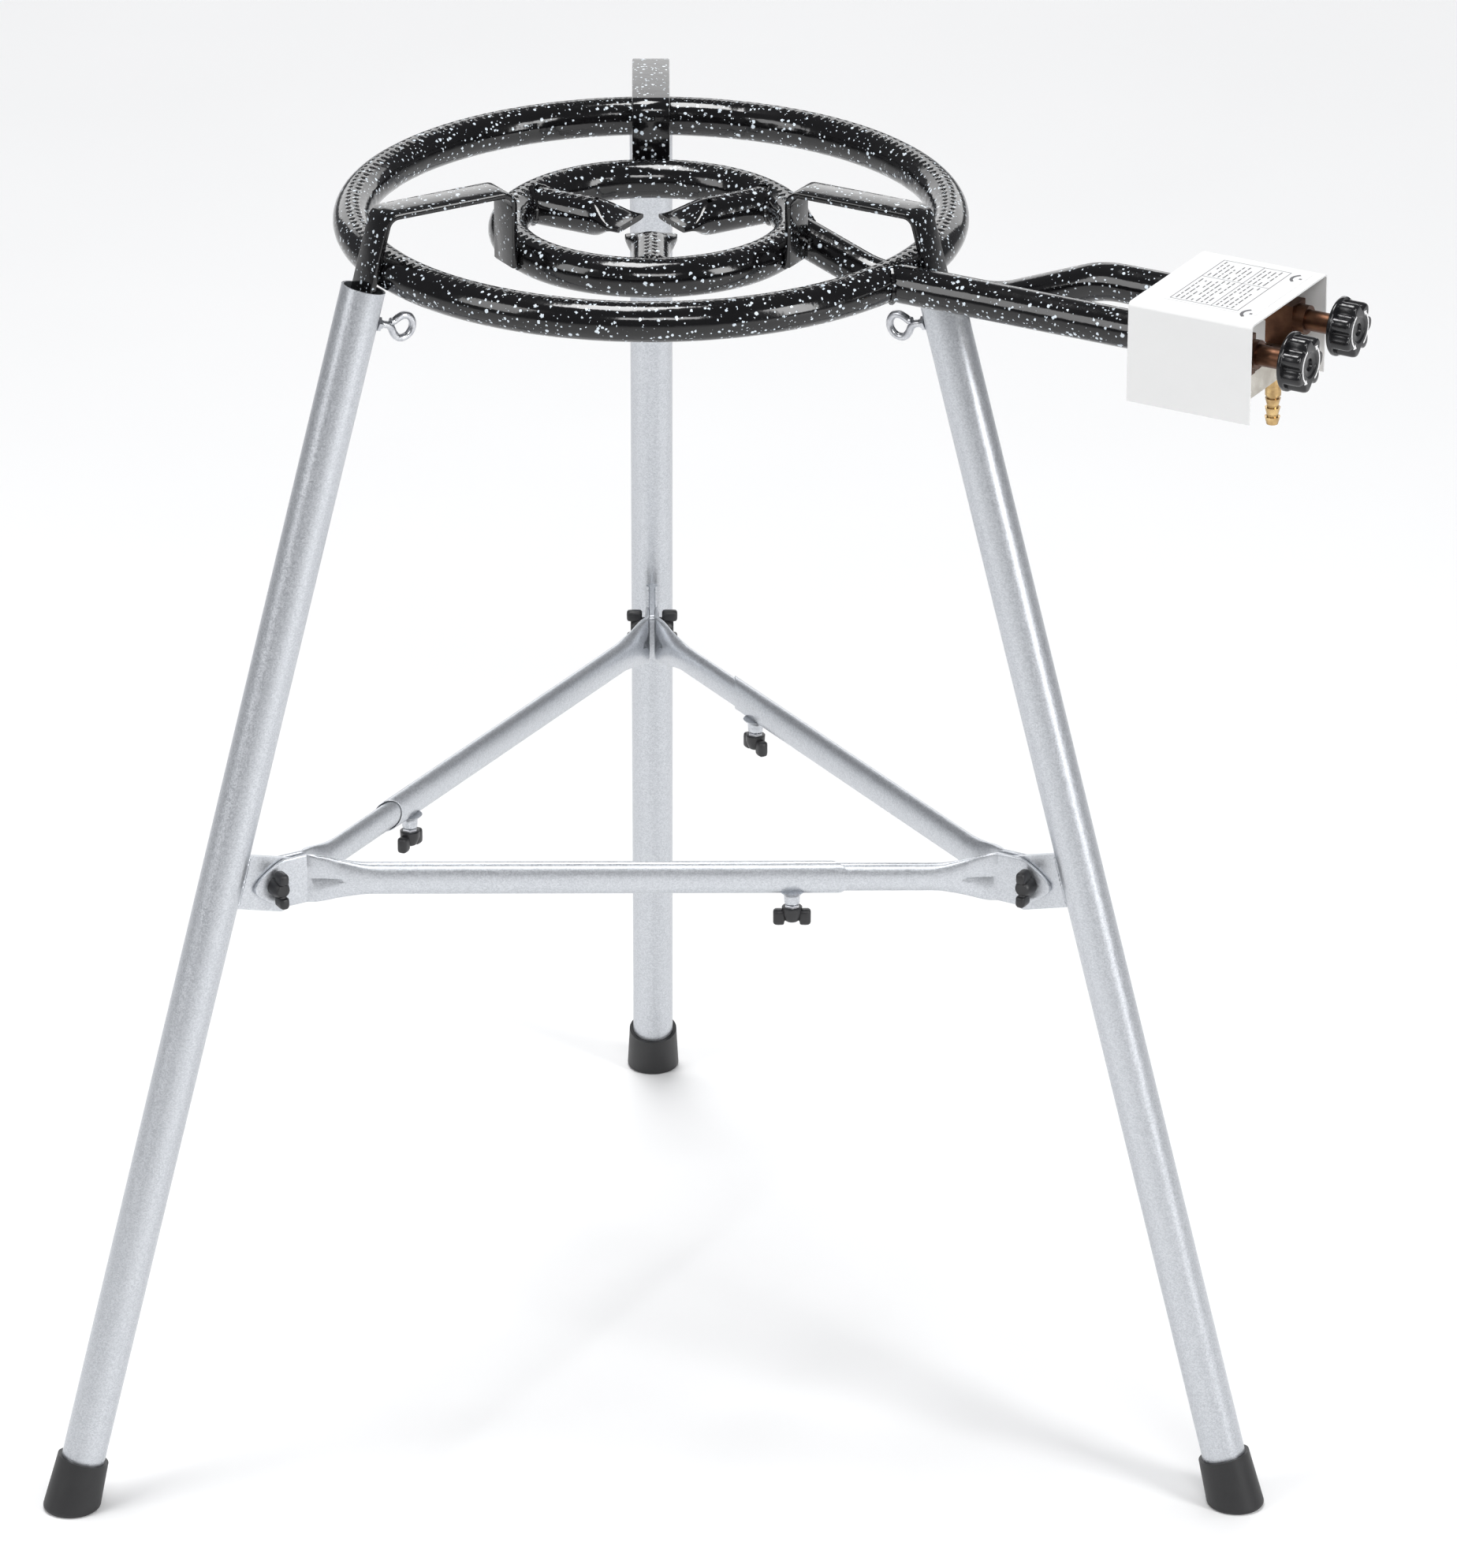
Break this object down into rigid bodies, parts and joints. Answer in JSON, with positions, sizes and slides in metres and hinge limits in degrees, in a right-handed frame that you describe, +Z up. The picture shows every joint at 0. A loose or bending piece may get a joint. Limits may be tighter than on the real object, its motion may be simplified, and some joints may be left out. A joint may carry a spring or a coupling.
{
  "type": "tripod gas burner",
  "caption": "Two-ring gas burner with speckled enamel rings, pan supports, valve cover and knobs, standing on a splayed tripod with telescopic braces.",
  "frame": {"origin": "on the floor, in the middle of the overall footprint", "axes": "+Z up, +Y toward the back leg, control end toward +X and -Y"},
  "size_m": [0.8316, 0.7268, 0.842],
  "materials": {
    "speckled_enamel": "glossy vitreous enamel with small white speckles",
    "white_paint": "satin white powder coat",
    "label": null,
    "brass": "turned brass",
    "nickel": "nickel plated bar",
    "black_phenolic": "polished black moulding",
    "black_nylon": "satin black moulding",
    "rubber": "matt black rubber",
    "silver_paint": "fine metallic silver paint",
    "zinc": "bright zinc plate"
  },
  "bodies": {
    "burner": {"outer_ring": "speckled_enamel", "inner_ring": "speckled_enamel", "burner_spurs": "speckled_enamel", "outer_feed_tube": "speckled_enamel", "inner_feed_tube": "speckled_enamel", "pan_support_back": "speckled_enamel", "pan_support_left": "speckled_enamel", "pan_support_right": "speckled_enamel", "valve_cover": "white_paint", "cover_label": "label", "cover_bracket": "zinc", "gas_rail": "nickel", "rail_plug": "nickel", "gas_inlet": "brass", "valve_body_outer": "brass", "valve_body_inner": "brass", "injectors": "brass"},
    "outer_knob": {"spindle_outer": "brass", "knob_outer": "black_phenolic"},
    "inner_knob": {"spindle_inner": "brass", "knob_inner": "black_phenolic"},
    "leg_back": {"leg_tube_back": "silver_paint", "brace_tab_back": "silver_paint", "clamp_nut_back": "zinc", "foot_cap_back": "rubber"},
    "eye_back": {"eye_screw_back": "zinc"},
    "tab_bolt_back": {"tab_screw_back": "zinc", "tab_wing_head_back": "black_nylon"},
    "tab_nut_back": {"tab_wing_nut_back": "black_nylon"},
    "strut_back": {"brace_outer_back": "silver_paint", "lock_boss_back": "zinc"},
    "strut_slide_back": {"brace_inner_back": "silver_paint"},
    "lock_back": {"lock_screw_back": "zinc", "lock_wing_back": "black_nylon"},
    "leg_left": {"leg_tube_left": "silver_paint", "brace_tab_left": "silver_paint", "clamp_nut_left": "zinc", "foot_cap_left": "rubber"},
    "eye_left": {"eye_screw_left": "zinc"},
    "tab_bolt_left": {"tab_screw_left": "zinc", "tab_wing_head_left": "black_nylon"},
    "tab_nut_left": {"tab_wing_nut_left": "black_nylon"},
    "strut_left": {"brace_outer_left": "silver_paint", "lock_boss_left": "zinc"},
    "strut_slide_left": {"brace_inner_left": "silver_paint"},
    "lock_left": {"lock_screw_left": "zinc", "lock_wing_left": "black_nylon"},
    "leg_right": {"leg_tube_right": "silver_paint", "brace_tab_right": "silver_paint", "clamp_nut_right": "zinc", "foot_cap_right": "rubber"},
    "eye_right": {"eye_screw_right": "zinc"},
    "tab_bolt_right": {"tab_screw_right": "zinc", "tab_wing_head_right": "black_nylon"},
    "tab_nut_right": {"tab_wing_nut_right": "black_nylon"},
    "strut_right": {"brace_outer_right": "silver_paint", "lock_boss_right": "zinc"},
    "strut_slide_right": {"brace_inner_right": "silver_paint"},
    "lock_right": {"lock_screw_right": "zinc", "lock_wing_right": "black_nylon"}
  },
  "joints": [
    {"name": "outer_knob_turn", "type": "hinge", "parent": "burner", "child": "outer_knob", "pos_m": [0.36102, -0.34273, 0.803], "axis": [0.866, -0.5, 0], "range_deg": [0, 180]},
    {"name": "inner_knob_turn", "type": "hinge", "parent": "burner", "child": "inner_knob", "pos_m": [0.39502, -0.28384, 0.803], "axis": [0.866, -0.5, 0], "range_deg": [0, 180]},
    {"name": "leg_back_splay", "type": "hinge", "parent": "burner", "child": "leg_back", "pos_m": [-0.02285, 0.12376, 0.77235], "axis": [1, 0, 0], "range_deg": [-2, 2]},
    {"name": "leg_left_splay", "type": "hinge", "parent": "burner", "child": "leg_left", "pos_m": [-0.20591, -0.1933, 0.77235], "axis": [-0.5, 0.866, 0], "range_deg": [-2, 2]},
    {"name": "leg_right_splay", "type": "hinge", "parent": "burner", "child": "leg_right", "pos_m": [0.1602, -0.1933, 0.77235], "axis": [-0.5, -0.866, 0], "range_deg": [-2, 2]},
    {"name": "eye_back_turn", "type": "hinge", "parent": "leg_back", "child": "eye_back", "pos_m": [-0.02285, 0.12376, 0.77235], "axis": [0, -0.9613, -0.2756], "range_deg": [0, 720]},
    {"name": "strut_back_pivot", "type": "hinge", "parent": "leg_back", "child": "strut_back", "pos_m": [-0.02285, 0.18956, 0.405], "axis": [1, 0, 0], "range_deg": [-2, 2]},
    {"name": "strut_back_slide", "type": "slide", "parent": "strut_back", "child": "strut_slide_back", "axis": [-0.5, -0.866, 0], "range_m": [-0.025, 0.025]},
    {"name": "lock_back_turn", "type": "hinge", "parent": "strut_back", "child": "lock_back", "pos_m": [-0.17993, -0.09913, 0.405], "axis": [0, 0, -1], "range_deg": [0, 720]},
    {"name": "tab_bolt_back_turn", "type": "hinge", "parent": "leg_back", "child": "tab_bolt_back", "pos_m": [-0.02285, 0.18956, 0.405], "axis": [-1, 0, 0], "range_deg": [0, 720]},
    {"name": "tab_nut_back_turn", "type": "hinge", "parent": "leg_back", "child": "tab_nut_back", "pos_m": [-0.02285, 0.18956, 0.405], "axis": [1, 0, 0], "range_deg": [0, 720]},
    {"name": "eye_left_turn", "type": "hinge", "parent": "leg_left", "child": "eye_left", "pos_m": [-0.20591, -0.1933, 0.77235], "axis": [0.8325, 0.4806, -0.2756], "range_deg": [0, 720]},
    {"name": "strut_left_pivot", "type": "hinge", "parent": "leg_left", "child": "strut_left", "pos_m": [-0.26289, -0.2262, 0.405], "axis": [-0.5, 0.866, 0], "range_deg": [-2, 2]},
    {"name": "strut_left_slide", "type": "slide", "parent": "strut_left", "child": "strut_slide_left", "axis": [1, 0, 0], "range_m": [-0.025, 0.025]},
    {"name": "lock_left_turn", "type": "hinge", "parent": "strut_left", "child": "lock_left", "pos_m": [0.06566, -0.21789, 0.405], "axis": [0, 0, -1], "range_deg": [0, 720]},
    {"name": "tab_bolt_left_turn", "type": "hinge", "parent": "leg_left", "child": "tab_bolt_left", "pos_m": [-0.26289, -0.2262, 0.405], "axis": [0.5, -0.866, 0], "range_deg": [0, 720]},
    {"name": "tab_nut_left_turn", "type": "hinge", "parent": "leg_left", "child": "tab_nut_left", "pos_m": [-0.26289, -0.2262, 0.405], "axis": [-0.5, 0.866, 0], "range_deg": [0, 720]},
    {"name": "eye_right_turn", "type": "hinge", "parent": "leg_right", "child": "eye_right", "pos_m": [0.1602, -0.1933, 0.77235], "axis": [-0.8325, 0.4806, -0.2756], "range_deg": [0, 720]},
    {"name": "strut_right_pivot", "type": "hinge", "parent": "leg_right", "child": "strut_right", "pos_m": [0.21719, -0.2262, 0.405], "axis": [-0.5, -0.866, 0], "range_deg": [-2, 2]},
    {"name": "strut_right_slide", "type": "slide", "parent": "strut_right", "child": "strut_slide_right", "axis": [-0.5, 0.866, 0], "range_m": [-0.025, 0.025]},
    {"name": "lock_right_turn", "type": "hinge", "parent": "strut_right", "child": "lock_right", "pos_m": [0.04571, 0.05417, 0.405], "axis": [0, 0, -1], "range_deg": [0, 720]},
    {"name": "tab_bolt_right_turn", "type": "hinge", "parent": "leg_right", "child": "tab_bolt_right", "pos_m": [0.21719, -0.2262, 0.405], "axis": [0.5, 0.866, 0], "range_deg": [0, 720]},
    {"name": "tab_nut_right_turn", "type": "hinge", "parent": "leg_right", "child": "tab_nut_right", "pos_m": [0.21719, -0.2262, 0.405], "axis": [-0.5, -0.866, 0], "range_deg": [0, 720]}
  ],
  "couplings": [
    {"joint": "strut_back_pivot", "follows": "leg_back_splay", "ratio": -1},
    {"joint": "strut_back_slide", "follows": "leg_back_splay", "m_per_rad": 0.63627},
    {"joint": "leg_left_splay", "follows": "leg_back_splay", "ratio": 1},
    {"joint": "strut_left_pivot", "follows": "leg_back_splay", "ratio": -1},
    {"joint": "strut_left_slide", "follows": "leg_back_splay", "m_per_rad": 0.63627},
    {"joint": "leg_right_splay", "follows": "leg_back_splay", "ratio": 1},
    {"joint": "strut_right_pivot", "follows": "leg_back_splay", "ratio": -1},
    {"joint": "strut_right_slide", "follows": "leg_back_splay", "m_per_rad": 0.63627}
  ]
}
